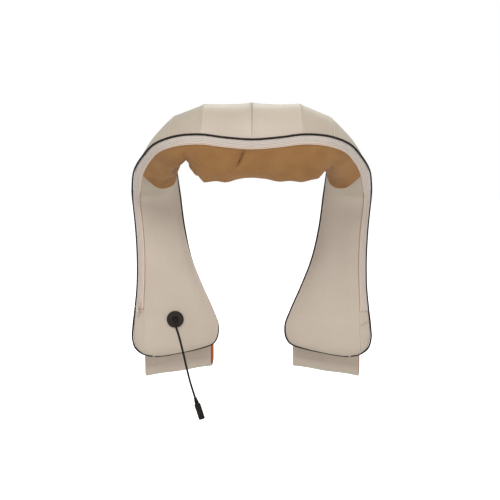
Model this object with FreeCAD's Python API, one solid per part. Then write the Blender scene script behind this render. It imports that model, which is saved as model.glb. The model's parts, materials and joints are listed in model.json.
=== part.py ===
import FreeCAD, Part
import math
import os

from FreeCAD import Vector as V

# Shiatsu neck massager: a padded yoke that lies round the back of the neck, with two padded arms that
# hang down in front of the shoulders and end in hand loops. The yoke holds one motor with two worms,
# each turning a head of four kneading nodes behind a mesh cover. Millimetres. +Z up, +X to the right
# seen from behind the wearer, +Y the way the wearer faces. Origin: centre of the neck opening, level
# with the piping at the back of the yoke.

os.makedirs("parts", exist_ok=True)

# ---------------------------------------------------------------- driving dimensions
SKIN = 2.5                  # leather or mesh with its backing
SKIN_GAP = 1.2              # left between a skin and the foam under it
PIPING_R = 1.5
TAPE_T = 1.0                # zip tape
TAPE_GAP = 0.3
TAPE_MARGIN = 1.0           # between the tape and the piping

ARM_FACE_Y = 60.0           # the side that lies on the chest
ARM_BACK_Y = 100.0          # the outer side
ARM_SEAM_Y = 72.0           # where the two covers of an arm meet
CHAMFER_IN = 11.5           # the body side slopes from the seam to its face, and carries the zip
CHAMFER_Y = 63.0
FLEX_Y = 80.0               # the soft bend between yoke and arm
FLEX_Z = -125.0
YOKE_END_Z = -103.0

HEAD_X = 58.0               # kneading heads
HEAD_Y = -72.0
NODE_ORBIT = 24.0
LARGE_NODE_R = 14.5
SMALL_NODE_R = 11.0

MODULE = 1.2                # worm gearing
WHEEL_TEETH = 40
WHEEL_FACE = 6.0
WORM_PITCH_R = 5.0
WORM_LENGTH = 22.0
WORM_Z = 4.0

SHAFT_R = 4.0               # output shafts
MOTOR_SHAFT_R = 3.0
RUNNING = 0.05              # radial running clearance
MOTOR_R = 15.0
MOTOR_HALF = 27.0

BOX_FLOOR_Z = -17.0         # gearbox
BOX_ROOF_Z = 23.0
BOX_HALF_X = 92.0
BOX_Y0 = -104.0
BOX_Y1 = -22.0
BOX_WALL = 2.5

PANEL_X = -146.0            # control panel on the outer side of the left arm
PANEL_Z = -215.0
PANEL_W = 62.0
PANEL_H = 86.0
PANEL_Y = 100.2
BUTTON_R = 6.0
BUTTON_STEP = 18.0
BUTTON_TRAVEL = 0.8

GLAND_X = -127.0            # where the lead leaves the left arm
GLAND_Z = -301.8
GLAND_R = 14.0
LEAD_D = 3.5

STRAP_X = 125.5             # hand loops
STRAP_W = 112.0
STRAP_SLOPE = 9.0           # degrees that a loop drops towards the outer side
STRAP_T = 2.2
LINING_T = 0.9

WHEEL_R = MODULE * WHEEL_TEETH / 2
WORM_Y = HEAD_Y + WHEEL_R + WORM_PITCH_R
WORM_LEAD = math.pi * MODULE


# ---------------------------------------------------------------- helpers
def save(name, shape):
    shape.exportStep("parts/%s.step" % name)
    good = shape.isValid() and shape.Volume > 0
    print("%-26s %9.0f mm3  solids %d%s" % (name, shape.Volume, len(shape.Solids), "" if good else "  BAD"))


def mirrored(shape):
    return shape.mirror(V(0, 0, 0), V(1, 0, 0))


def box(x0, x1, y0, y1, z0, z1):
    return Part.makeBox(x1 - x0, y1 - y0, z1 - z0, V(x0, y0, z0))


def rounded_box(x0, x1, y0, y1, z0, z1, r, axis):
    """A box whose four edges along the axis are rounded."""
    solid = box(x0, x1, y0, y1, z0, z1)
    edges = [e for e in solid.Edges if abs(e.tangentAt(e.FirstParameter).dot(axis)) > 0.99]
    return solid.makeFillet(r, edges)


def rod(x, y, z0, z1, r):
    return Part.makeCylinder(r, z1 - z0, V(x, y, z0), V(0, 0, 1))


def rod_x(x0, x1, y, z, r):
    return Part.makeCylinder(r, x1 - x0, V(x0, y, z), V(1, 0, 0))


def rod_y(y0, y1, x, z, r):
    return Part.makeCylinder(r, y1 - y0, V(x, y0, z), V(0, 1, 0))


def spline(points):
    curve = Part.BSplineCurve()
    curve.interpolate(points)
    return curve.toShape()


def mix(a, b, s):
    return a * (1 - s) + b * s


# ---------------------------------------------------------------- yoke: stations from the centre to one shoulder
# Each station: edge (piping line), neck edge, outward direction of the back cover, rise of the back
# cover, depth of the mesh side, and how the zip band runs from the piping: down and inwards.
STATIONS = [
    (V(0, -140, 0), V(0, 0, 12), V(0, 0, 1), 48, 62, 14, 1),
    (V(42, -139, 3), V(36, 1, 12), V(0, 0, 1), 46, 63, 14, 1),
    (V(76, -135, 6), V(66, 4, 11), V(0.03, 0, 1), 43, 63, 14, 1),
    (V(112, -124, 5), V(95, 12, 5), V(0.10, 0.02, 1), 35, 58, 14, 2),
    (V(146, -98, -6), V(114, 24, -6), V(0.42, 0.12, 0.88), 22, 42, 13, 3),
    (V(168, -62, -26), V(122, 38, -22), V(0.68, 0.25, 0.68), 18, 34, 12, 5),
    (V(183, -20, -52), V(124, 52, -44), V(0.70, 0.50, 0.48), 18, 26, 12, 7),
    (V(191, 26, -80), V(122, 64, -72), V(0.45, 0.80, 0.35), 22, 16, 11, 9),
    (V(195.5, ARM_SEAM_Y, YOKE_END_Z), V(119, ARM_SEAM_Y, YOKE_END_Z), V(0, 1, 0), 28, 9, 9, 11),
    (V(193.5, ARM_SEAM_Y, -128), V(116.5, ARM_SEAM_Y, -128), V(0, 1, 0), 28, 9, 9, 11),
]
ABOVE_ARMS = box(-260, 260, -260, 200, YOKE_END_Z, 120)
BACK_POWER = 2.6            # how square the covers' curves are
MESH_POWER = 3.8
PROFILE_STEPS = 10


def station_frame(station):
    edge, neck, up = station[0], station[1], station[2]
    across = (neck - edge).normalize()
    up = (up - across * up.dot(across)).normalize()
    return edge, neck, across, up


def bulge(start, end, up, height, power):
    """Points of a full, round-shouldered curve from start to end."""
    points = []
    for i in range(PROFILE_STEPS + 1):
        s = -math.cos(math.pi * i / PROFILE_STEPS)
        rise = height * (1 - abs(s) ** power)
        points.append(mix(start, end, (s + 1) / 2) + up * rise)
    return points


def crescent(start, end, across, up, height, inner_height, power):
    outer = bulge(start, end, up, height, power)
    inner = bulge(start + across * SKIN, end - across * SKIN, up, inner_height, power)
    return Part.Wire([spline(outer), Part.makeLine(outer[-1], inner[-1]),
                      spline(inner[::-1]), Part.makeLine(inner[0], outer[0])])


def back_section(station):
    edge, neck, across, up = station_frame(station)
    return crescent(edge, neck, across, up, station[3], station[3] - SKIN, BACK_POWER)


def mesh_section(station):
    edge, neck, across, up = station_frame(station)
    start = edge - up * station[5] + across * station[6]
    end = neck - up * 1.0 - across * 0.6
    return crescent(start, end, across, up, -station[4], -station[4] + SKIN, MESH_POWER)


def foam_section(station):
    """The whole inside of a station, drawn in from the skins."""
    edge, neck, across, up = station_frame(station)
    inset = SKIN + SKIN_GAP + 3.5 * up.y
    top = bulge(edge + across * (inset + 2), neck - across * (inset + 2), up,
                station[3] - inset, BACK_POWER)
    low_start = edge - up * station[5] + across * (station[6] + inset + 2)
    low = bulge(low_start, neck - up * 2.0 - across * (inset + 2), up, -station[4] + inset, MESH_POWER)
    return Part.Wire([spline(top), Part.makeLine(top[-1], low[-1]),
                      spline(low[::-1]), Part.makeLine(low[0], top[0])])


def band_section(station):
    """The zip tape's section: a thin strip between the piping and the mesh cover's edge."""
    edge, neck, across, up = station_frame(station)
    low = edge - up * station[5] + across * station[6]
    down = (low - edge).normalize()
    out = (down * across.dot(down) - across).normalize()
    a = edge + down * TAPE_MARGIN + out * TAPE_GAP
    b = low - down * 3 * TAPE_MARGIN + out * TAPE_GAP
    return Part.makePolygon([a, b, b + out * TAPE_T, a + out * TAPE_T, a])


def piping_centres(station):
    """Centres of the piping at the outer edge and at the neck edge."""
    edge, neck, across, up = station_frame(station)
    lift = up * 1.2
    return edge - across * (PIPING_R + 0.4) + lift, neck + across * (PIPING_R + 1.0) + lift


def cord_along(points, radius):
    """A round cord of a constant section along a smooth curve."""
    path = Part.Wire([spline(points)])
    curve = path.Edges[0]
    profile = Part.makeCircle(radius, points[0], curve.tangentAt(curve.FirstParameter))
    return path.makePipeShell([Part.Wire([profile])], True, False)


def mirror_station(station):
    flip = [V(-p.x, p.y, p.z) for p in station[:3]]
    return tuple(flip) + tuple(station[3:])


def halfway(a, b, c, d):
    """The station halfway from b to c on a smooth run through four stations."""
    return tuple((q + r) * 0.5625 - (p + s) * 0.0625 for p, q, r, s in zip(a, b, c, d))


def whole_run():
    """Stations from the left shoulder to the right one, with one more in each interval."""
    run = [mirror_station(s) for s in STATIONS[:0:-1]] + STATIONS
    beyond = tuple(b * 2 - a for a, b in zip(STATIONS[-2], STATIONS[-1]))
    padded = [mirror_station(beyond)] + run + [beyond]
    dense = []
    for i in range(len(run) - 1):
        dense += [run[i], halfway(*padded[i:i + 4])]
    return dense + [run[-1]]


def yoke_loft(section):
    return Part.makeLoft([section(s) for s in whole_run()], True, False).common(ABOVE_ARMS)


MECHANISM_ROOM = box(-100, 100, -113, -15, -90, 29)


def make_yoke():
    save("back_cover", yoke_loft(back_section))
    save("mesh_cover", yoke_loft(mesh_section))
    save("yoke_zip_tape", yoke_loft(band_section))
    centres = [piping_centres(s) for s in [mirror_station(s) for s in STATIONS[:0:-1]] + STATIONS]
    cords = [cord_along([pair[i] for pair in centres], PIPING_R).common(ABOVE_ARMS) for i in (0, 1)]
    save("yoke_piping", Part.makeCompound(cords))
    save("yoke_foam", yoke_loft(foam_section).cut(MECHANISM_ROOM))


# ---------------------------------------------------------------- gearbox, motor and chassis
GEARBOX_SCREWS = [(-86.5, -98.5), (86.5, -98.5), (-86.5, -27.5), (86.5, -27.5), (0, -98.5)]
CHASSIS_SCREWS = [(-30, -95), (30, -95), (-35, -31), (35, -31)]
SCREW_R = 1.45
HEAD_R = 3.1
HEAD_T = 2.0
SLOT_FLOOR = 1.1
BUSH_R = 6.5
BEARING_X = 76.0
BEARING_W = 6.0


def screw(x, y, head_z, tip_z):
    """A pan-head screw along Z, its head starting at head_z and its tip at tip_z."""
    away = 1 if head_z > tip_z else -1
    shank = rod(x, y, min(head_z, tip_z), max(head_z, tip_z), SCREW_R)
    head = rod(x, y, min(head_z, head_z + away * HEAD_T), max(head_z, head_z + away * HEAD_T), HEAD_R)
    slot_z = sorted((head_z + away * SLOT_FLOOR, head_z + away * (HEAD_T + 1)))
    slot = box(x - HEAD_R, x + HEAD_R, y - 0.4, y + 0.4, *slot_z)
    return shank.fuse(head).cut(slot)


def gearbox_half(z_open, z_closed):
    """One shell of the gearbox, with its posts, saddles and bosses, between two levels."""
    low, high = min(z_open, z_closed), max(z_open, z_closed)
    shell = rounded_box(-BOX_HALF_X, BOX_HALF_X, BOX_Y0, BOX_Y1, low, high, 6, V(0, 0, 1))
    inner_low = low if z_closed > z_open else low + BOX_WALL
    inner_high = high - BOX_WALL if z_closed > z_open else high
    shell = shell.cut(rounded_box(-BOX_HALF_X + BOX_WALL, BOX_HALF_X - BOX_WALL, BOX_Y0 + BOX_WALL,
                                  BOX_Y1 - BOX_WALL, inner_low, inner_high, 3.5, V(0, 0, 1)))
    posts = [rod(x, y, low, high, 3.8) for x, y in GEARBOX_SCREWS]
    for side in (-1, 1):
        posts.append(box(side * BEARING_X - BEARING_W / 2, side * BEARING_X + BEARING_W / 2,
                         WORM_Y - 9, WORM_Y + 9, low, high))
        posts.append(box(side * 18 - 1.5, side * 18 + 1.5, WORM_Y - 15, WORM_Y + 15, low, high))
    for post in posts:
        shell = shell.fuse(post)
    shell = shell.cut(rod_x(-MOTOR_HALF - 1, MOTOR_HALF + 1, WORM_Y, WORM_Z, MOTOR_R + RUNNING))
    return shell.cut(rod_x(-BEARING_X - 4, BEARING_X + 4, WORM_Y, WORM_Z, BUSH_R))


def make_gearbox():
    lower = gearbox_half(WORM_Z, BOX_FLOOR_Z)
    upper = gearbox_half(WORM_Z, BOX_ROOF_Z)
    bushes = []
    for side in (-1, 1):
        x = side * HEAD_X
        lower = lower.fuse(rod(x, HEAD_Y, BOX_FLOOR_Z - 3, -10, 9.5)).cut(
            rod(x, HEAD_Y, BOX_FLOOR_Z - 4, -9, BUSH_R))
        upper = upper.fuse(rod(x, HEAD_Y, 11, BOX_ROOF_Z, 9.5)).cut(rod(x, HEAD_Y, 10, 18, BUSH_R))
        for z0, z1 in ((BOX_FLOOR_Z - 3, -10), (11, 18)):
            bushes.append(rod(x, HEAD_Y, z0, z1, BUSH_R).cut(
                rod(x, HEAD_Y, z0 - 1, z1 + 1, SHAFT_R + RUNNING)))
    for x, y in GEARBOX_SCREWS:
        lower = lower.cut(rod(x, y, BOX_FLOOR_Z - 1, WORM_Z + 1, SCREW_R + 0.1))
        upper = upper.cut(rod(x, y, WORM_Z - 1, 15, SCREW_R + 0.02))
    for x, y in CHASSIS_SCREWS:
        upper = upper.fuse(rod(x, y, 12, BOX_ROOF_Z, 3.8)).cut(rod(x, y, 13, BOX_ROOF_Z + 1, SCREW_R + 0.02))
    save("gearbox_lower", lower)
    save("gearbox_upper", upper)
    save("output_bushes", Part.makeCompound(bushes))
    bearings = [rod_x(s * BEARING_X - 3, s * BEARING_X + 3, WORM_Y, WORM_Z, BUSH_R).cut(
        rod_x(s * BEARING_X - 4, s * BEARING_X + 4, WORM_Y, WORM_Z, MOTOR_SHAFT_R + RUNNING))
        for s in (-1, 1)]
    save("worm_bearings", Part.makeCompound(bearings))
    save("gearbox_screws", Part.makeCompound(
        [screw(x, y, BOX_FLOOR_Z, 13) for x, y in GEARBOX_SCREWS]))


def make_chassis():
    top = BOX_ROOF_Z + 3
    plate = rounded_box(-90, 90, -101, -26, BOX_ROOF_Z, top, 10, V(0, 0, 1))
    for x, y in CHASSIS_SCREWS:
        plate = plate.cut(rod(x, y, BOX_ROOF_Z - 1, top + 1, 1.7))
    for x in (-62, 0, 62):
        plate = plate.cut(rounded_box(x - 18, x + 18, -82, -46, BOX_ROOF_Z - 1, top + 1, 6, V(0, 0, 1)))
    save("chassis_plate", plate)
    save("chassis_screws", Part.makeCompound(
        [screw(x, y, top, 13.5) for x, y in CHASSIS_SCREWS]))


def make_motor():
    hole = rod_x(-40, 40, WORM_Y, WORM_Z, MOTOR_SHAFT_R + RUNNING)
    can = rod_x(-MOTOR_HALF + 3, MOTOR_HALF - 7, WORM_Y, WORM_Z, MOTOR_R)
    can = can.fuse(rod_x(-MOTOR_HALF, -MOTOR_HALF + 3, WORM_Y, WORM_Z, 5)).cut(hole)
    cap = rod_x(MOTOR_HALF - 7, MOTOR_HALF, WORM_Y, WORM_Z, MOTOR_R - 0.8)
    cap = cap.cut(rod_x(MOTOR_HALF - 4, MOTOR_HALF + 1, WORM_Y, WORM_Z, 9)).fuse(
        rod_x(MOTOR_HALF - 7, MOTOR_HALF - 1, WORM_Y, WORM_Z, 5)).cut(hole)
    save("motor_can", can)
    save("motor_end_cap", cap)


def worm(x):
    """A single-start worm centred at x, its thread facing the wheel (towards -Y) at its middle."""
    core_r = WORM_PITCH_R - MODULE * 1.1
    tip_r = WORM_PITCH_R + MODULE * 0.8
    root, tip = 0.95, 0.35
    helix = Part.makeHelix(WORM_LEAD, WORM_LENGTH, WORM_PITCH_R)
    profile = Part.makePolygon([V(core_r - 0.4, 0, -root), V(tip_r, 0, -tip), V(tip_r, 0, tip),
                                V(core_r - 0.4, 0, root), V(core_r - 0.4, 0, -root)])
    thread = Part.Wire(helix.Edges).makePipeShell([profile], True, True)
    body = Part.makeCylinder(core_r, WORM_LENGTH + 4, V(0, 0, -2)).fuse(thread)
    turns = WORM_LENGTH / 2 / WORM_LEAD
    body.rotate(V(0, 0, 0), V(0, 0, 1), -360 * turns)
    body.translate(V(0, 0, -WORM_LENGTH / 2))
    body.rotate(V(0, 0, 0), V(0, 1, 0), 90)      # axis to +X, thread side from +X to -Z
    body.rotate(V(0, 0, 0), V(1, 0, 0), -90)     # thread side from -Z to -Y
    body.translate(V(x, WORM_Y, WORM_Z))
    return body


def make_worm_shaft():
    half = worm(HEAD_X)
    shaft = rod_x(-BEARING_X - 5, BEARING_X + 5, WORM_Y, WORM_Z, MOTOR_SHAFT_R)
    save("worm_shaft", shaft.fuse(half).fuse(mirrored(half)).removeSplitter())


def worm_wheel():
    """Wheel with a tooth gap facing the worm (towards +Y)."""
    tip_r, root_r = WHEEL_R + MODULE * 0.75, WHEEL_R - MODULE * 1.15
    pitch = 2 * math.pi / WHEEL_TEETH
    points = []
    for i in range(WHEEL_TEETH):
        middle = math.pi / 2 + pitch * (i + 0.5)
        for r, off in ((root_r, -0.30), (tip_r, -0.12), (tip_r, 0.12), (root_r, 0.30)):
            a = middle + off * pitch
            points.append(V(r * math.cos(a), r * math.sin(a), 0))
    blank = Part.Face(Part.makePolygon(points + points[:1])).extrude(V(0, 0, WHEEL_FACE))
    blank.translate(V(0, 0, WORM_Z - WHEEL_FACE / 2))
    blank = blank.fuse(rod(0, 0, -4, 10, 7.5)).cut(rod(0, 0, -5, 11, SHAFT_R))
    for i in range(5):
        a = 2 * math.pi * i / 5
        blank = blank.cut(rod(14.5 * math.cos(a), 14.5 * math.sin(a), 0, 8, 3.6))
    return blank


def kneading_head(phase):
    """Arm, large nodes and small nodes about the Z axis; large nodes at the phase angle."""
    top, low = -24.0, -30.0
    arm = rod(0, 0, low, top, 9.5)
    large, small = [], []
    for i in range(4):
        a = math.radians(phase + 90 * i)
        x, y = NODE_ORBIT * math.cos(a), NODE_ORBIT * math.sin(a)
        bar = box(0, NODE_ORBIT, -5, 5, low, top)
        bar.rotate(V(0, 0, 0), V(0, 0, 1), phase + 90 * i)
        peg = rod(x, y, -38, top, 3.5)
        arm = arm.fuse(bar).fuse(rod(x, y, low, top, 6)).fuse(peg)
        r, z = ((LARGE_NODE_R, -41.0), (SMALL_NODE_R, -40.0))[i % 2]
        ball = Part.makeSphere(r, V(x, y, z)).cut(box(-60, 60, -60, 60, low - 0.3, 0))
        ball = ball.cut(rod(x, y, -38, 0, 3.5))
        (large, small)[i % 2].append(ball)
    arm = arm.cut(rod(0, 0, low - 1, top + 1, SHAFT_R))
    return arm, Part.makeCompound(large), Part.makeCompound(small)


def make_heads():
    shaft = rod(0, 0, -30, 17.5, SHAFT_R)
    arm, large, small = kneading_head(135)
    pieces = {"worm_wheel": worm_wheel(), "output_shaft": shaft, "kneading_arm": arm,
              "large_nodes": large, "small_nodes": small}
    for name, shape in pieces.items():
        shape.translate(V(HEAD_X, HEAD_Y, 0))
        save("right_" + name, shape)
        save("left_" + name, mirrored(shape))


def make_heating():
    board = rounded_box(-12, 12, -104, -40, BOX_FLOOR_Z - 5.6, BOX_FLOOR_Z - 4, 2, V(0, 0, 1))
    spacers = [rod(0, y, BOX_FLOOR_Z - 4, BOX_FLOOR_Z, 2.5) for y in (-86, -44)]
    for spacer in spacers:
        board = board.fuse(spacer)
    save("lamp_board", board)
    low = BOX_FLOOR_Z - 5.6
    lamps = []
    for y in (-92, -54):
        base = rod(0, y, low - 2, low, 5)
        dome = Part.makeSphere(4.2, V(0, y, low - 2)).cut(rod(0, y, low - 2, low + 4, 6))
        lamps.append(base.fuse(dome))
    save("heat_lamps", Part.makeCompound(lamps))
    save("thermal_cutout", rounded_box(-4, 4, -76, -66, low - 3, low, 1, V(0, 0, 1)))


# ---------------------------------------------------------------- arms
# Outline of the right arm seen from behind, X and Z, from the top of the outer edge down, round the
# bottom and up the inner edge.
ARM_OUTLINE = [(196, -100), (190.8, -155), (188.8, -207), (190, -255), (194, -290), (197.6, -325),
               (195.5, -348), (184, -361.5), (161, -366), (117, -360), (75, -349), (61, -339), (57, -321),
               (61, -302), (73, -274), (87, -240), (99, -208), (108, -176), (114.5, -143), (119, -100)]
TAPE_END_Z = -289.0


def inset_outline(inset):
    """The arm's outline drawn in by a distance (out, if negative)."""
    points = [V(x, 0, z) for x, z in ARM_OUTLINE]
    moved = []
    for i, p in enumerate(points):
        before = points[max(i - 1, 0)]
        after = points[min(i + 1, len(points) - 1)]
        along = (after - before).normalize()
        moved.append(p + V(along.z, 0, -along.x) * inset)
    return moved


def outline_wire(inset, y):
    points = [V(p.x, y, p.z) for p in inset_outline(inset)]
    return Part.Wire([spline(points), Part.makeLine(points[-1], points[0])])


def pillow(levels):
    """A closed solid through arm outlines, each level a (Y, inset) pair."""
    return Part.makeLoft([outline_wire(inset, y) for y, inset in levels], True, True)


def bend_limit(half_thickness):
    """The room an arm may fill: its top is rounded about the flex line."""
    cheek = box(40, 220, FLEX_Y - half_thickness, FLEX_Y + half_thickness, -380, FLEX_Z)
    return cheek.fuse(rod_x(40, 220, FLEX_Y, FLEX_Z, half_thickness))


def arm_pieces():
    """The five soft pieces of the right arm."""
    half = (ARM_BACK_Y - ARM_FACE_Y) / 2
    limit = bend_limit(half)
    face = ARM_FACE_Y
    seam = ARM_SEAM_Y
    back = ARM_BACK_Y
    body_out = pillow([(face, 16), (CHAMFER_Y, CHAMFER_IN), (seam - 0.3, 0)])
    body_in = pillow([(face + SKIN, 20), (CHAMFER_Y + 2, CHAMFER_IN + 1.7), (seam + 1, SKIN + 0.1)])
    outer_out = pillow([(seam + 0.3, 0), (back - 12, 0), (back - 4, 3), (back, 10)])
    outer_in = pillow([(seam - 1, SKIN), (back - 13, SKIN), (back - 6, 5.5), (back - SKIN, 12)])
    foam = pillow([(face + 3.8, 22), (face + 6, 15), (seam - 1, 8.4), (seam + 3, 3.9), (back - 14, 3.9),
                   (back - 7, 7.5), (back - 4, 14)])
    piping = cord_along([V(p.x, seam + 1.5, p.z) for p in inset_outline(-PIPING_R - 0.4)], PIPING_R)
    return {"body_cover": body_out.cut(body_in).common(limit),
            "outer_cover": outer_out.cut(outer_in).common(limit),
            "arm_foam": foam.common(bend_limit(half - SKIN - SKIN_GAP)),
            "arm_piping": piping.common(box(0, 220, 60, 100, -380, FLEX_Z))}


CHAMFER_RUN = V(CHAMFER_IN, ARM_SEAM_Y - 0.3 - CHAMFER_Y, 0)
CHAMFER_SIDE = CHAMFER_RUN.normalize()                   # along the slope, to the seam
CHAMFER_OUT = V(CHAMFER_SIDE.y, -CHAMFER_SIDE.x, 0)
CHAMFER_MIDDLE_IN = CHAMFER_IN / 2
CHAMFER_MIDDLE_Y = (ARM_SEAM_Y - 0.3 + CHAMFER_Y) / 2


def tape_middle(x, z, lift):
    """A point over the middle of the right arm's slope, where its outer edge is at x."""
    return V(x - CHAMFER_MIDDLE_IN, CHAMFER_MIDDLE_Y, z) + CHAMFER_OUT * lift


def arm_tape():
    """Zip tape on the slope at the outer edge of the right arm."""
    sections = []
    start_x = (ARM_OUTLINE[0][0] + ARM_OUTLINE[1][0]) / 2
    half = CHAMFER_SIDE * 5.8
    for x, z in [(start_x, FLEX_Z)] + ARM_OUTLINE[1:5]:
        low = tape_middle(x, max(z, TAPE_END_Z), TAPE_GAP)
        high = tape_middle(x, max(z, TAPE_END_Z), TAPE_GAP + TAPE_T)
        sections.append(Part.makePolygon([low - half, low + half, high + half, high - half, low - half]))
    return Part.makeLoft(sections, True, False)


def thick_path(points, t0, t1, x0, x1):
    """A strip between two offsets of a path in the YZ plane, from x0 to x1, sloping as the loop does."""
    slope = math.tan(math.radians(STRAP_SLOPE))

    def shifted(t):
        out = []
        for i, (y, z) in enumerate(points):
            y0, z0 = points[max(i - 1, 0)]
            y1, z1 = points[min(i + 1, len(points) - 1)]
            length = math.hypot(y1 - y0, z1 - z0)
            out.append(V(x0, y + (z1 - z0) / length * t, z - (y1 - y0) / length * t - (x0 - STRAP_X) * slope))
        return out
    ring = shifted(t0) + shifted(t1)[::-1]
    return Part.Face(Part.makePolygon(ring + ring[:1])).extrude(V(x1 - x0, 0, -(x1 - x0) * slope))


LOOP_NEAR_Y = ARM_BACK_Y + 2.8
LOOP_R = 12.5
LOOP_LOW_Z = -385.0


def strap_pieces():
    """Hand loop of the right arm: leather outside, lining inside."""
    centre = LOOP_NEAR_Y + LOOP_R
    path = [(LOOP_NEAR_Y, -338), (LOOP_NEAR_Y, -362), (LOOP_NEAR_Y, LOOP_LOW_Z)]
    for i in range(1, 9):
        a = math.pi + math.pi * i / 9
        path.append((centre + LOOP_R * math.cos(a), LOOP_LOW_Z + LOOP_R * math.sin(a)))
    far = centre + LOOP_R
    path += [(far, LOOP_LOW_Z), (far, -350), (far, -332), (far - 2, -324), (far - 7, -317.5),
             (far - 14, -313), (LOOP_NEAR_Y + 3, -309), (LOOP_NEAR_Y + 0.6, -306), (LOOP_NEAR_Y, -300)]
    x0, x1 = STRAP_X - STRAP_W / 2, STRAP_X + STRAP_W / 2
    strap = thick_path(path, 0, STRAP_T, x0, x1)
    lining = thick_path(path, -0.05 - LINING_T, -0.05, x0 + 1, x1 - 1)
    return {"hand_strap": strap, "strap_lining": lining}


# ---------------------------------------------------------------- control box in the left arm
BOX_DEPTH_Y = 76.0
SCREW_POSTS = [(sx * 24, sz * 36) for sx in (-1, 1) for sz in (-1, 1)]
BUTTONS = ["power_button", "direction_button", "speed_button", "heat_button"]


def pocket(grow):
    return box(PANEL_X - 30 - grow, PANEL_X + 30 + grow, BOX_DEPTH_Y - 3 - grow, 110,
               PANEL_Z - 42 - grow, PANEL_Z + 42 + grow)


def button_z(i):
    return PANEL_Z + BUTTON_STEP * (1.5 - i)


def make_control_box():
    tray = rounded_box(PANEL_X - 30, PANEL_X + 30, BOX_DEPTH_Y, PANEL_Y - 0.2, PANEL_Z - 42, PANEL_Z + 42,
                       5, V(0, 1, 0))
    tray = tray.cut(rounded_box(PANEL_X - 28, PANEL_X + 28, BOX_DEPTH_Y + 2, PANEL_Y + 1, PANEL_Z - 40,
                                PANEL_Z + 40, 3.5, V(0, 1, 0)))
    panel = rounded_box(PANEL_X - PANEL_W / 2, PANEL_X + PANEL_W / 2, PANEL_Y, PANEL_Y + 2.6,
                        PANEL_Z - PANEL_H / 2, PANEL_Z + PANEL_H / 2, 7, V(0, 1, 0))
    board = box(PANEL_X - 20, PANEL_X + 20, 90, 91.6, PANEL_Z - 36, PANEL_Z + 36)
    screws = []
    for dx, dz in SCREW_POSTS:
        x, z = PANEL_X + dx, PANEL_Z + dz
        tray = tray.fuse(rod_y(BOX_DEPTH_Y, 91.0, x, z, 3.2)).cut(rod_y(BOX_DEPTH_Y - 1, 92, x, z, 1.4))
        panel = panel.fuse(rod_y(91.2, PANEL_Y, x, z, 3.2)).cut(rod_y(90, 99, x, z, 1.32))
        screws.append(rod_y(BOX_DEPTH_Y, 98.5, x, z, 1.3).fuse(rod_y(BOX_DEPTH_Y - 1.8, BOX_DEPTH_Y, x, z, 2.6)))
    for i, name in enumerate(BUTTONS):
        z = button_z(i)
        panel = panel.cut(rod_y(PANEL_Y - 1, PANEL_Y + 4, PANEL_X, z, BUTTON_R + 0.2))
        cap = rod_y(PANEL_Y - 0.9, PANEL_Y + 4.4, PANEL_X, z, BUTTON_R)
        cap = cap.makeFillet(1.2, [e for e in cap.Edges if e.CenterOfMass.y > PANEL_Y + 4])
        flange = rod_y(PANEL_Y - 2.1, PANEL_Y - 0.9, PANEL_X, z, BUTTON_R + 1.4)
        stem = rod_y(91.6 + BUTTON_TRAVEL + 0.4, PANEL_Y - 2.1, PANEL_X, z, 2.0)
        save(name, cap.fuse(flange).fuse(stem))
        panel = panel.cut(rod_y(PANEL_Y - 1, PANEL_Y + 4, PANEL_X + 17, z, 1.6))
    lenses = [rod_y(PANEL_Y + 0.6, PANEL_Y + 2.9, PANEL_X + 17, button_z(i), 1.55) for i in range(4)]
    save("control_box", tray)
    save("control_panel", panel)
    save("control_board", board)
    save("control_box_screws", Part.makeCompound(screws))
    save("indicator_lenses", Part.makeCompound(lenses))


# ---------------------------------------------------------------- lead
LEAD_EXIT = V(GLAND_X, ARM_FACE_Y - 15, GLAND_Z)
LEAD_ROUTE = [LEAD_EXIT, V(-126.6, 37, -302.3), V(-125.2, 30, -305.8), V(-122.6, 26, -313), V(-119, 24.2, -323.5),
              V(-115.2, 24, -338.5), V(-110.6, 24.6, -359), V(-105.6, 24.8, -382), V(-99.8, 24, -405),
              V(-93, 23, -426)]


def routed_tube(route, radius):
    """A tube of straight runs joined by tangent arcs, as large as the runs allow."""
    edges = []
    previous = route[0]
    length = 0.0
    for i in range(1, len(route) - 1):
        back = route[i - 1] - route[i]
        ahead = route[i + 1] - route[i]
        turn = math.pi - back.getAngle(ahead)
        trim = 0.45 * min(back.Length, ahead.Length)
        bend = trim / math.tan(turn / 2)
        print("lead bend %d: turn %.0f deg, radius %.1f mm" % (i, math.degrees(turn), bend))
        start = route[i] + back.normalize() * trim
        end = route[i] + ahead.normalize() * trim
        bisector = ((start + end) * 0.5 - route[i]).normalize()
        to_centre = bend / math.cos(turn / 2)
        middle = route[i] + bisector * (to_centre - bend)
        edges.append(Part.makeLine(previous, start))
        edges.append(Part.Arc(start, middle, end).toShape())
        length += (start - previous).Length + bend * turn
        previous = end
    edges.append(Part.makeLine(previous, route[-1]))
    length += (route[-1] - previous).Length
    profile = Part.Wire([Part.makeCircle(radius, route[0], route[1] - route[0])])
    tube = Part.Wire(edges).makePipeShell([profile], True, True)
    print("lead length %.1f mm, volume over section times length %.4f"
          % (length, tube.Volume / (math.pi * radius ** 2 * length)))
    return tube


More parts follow.
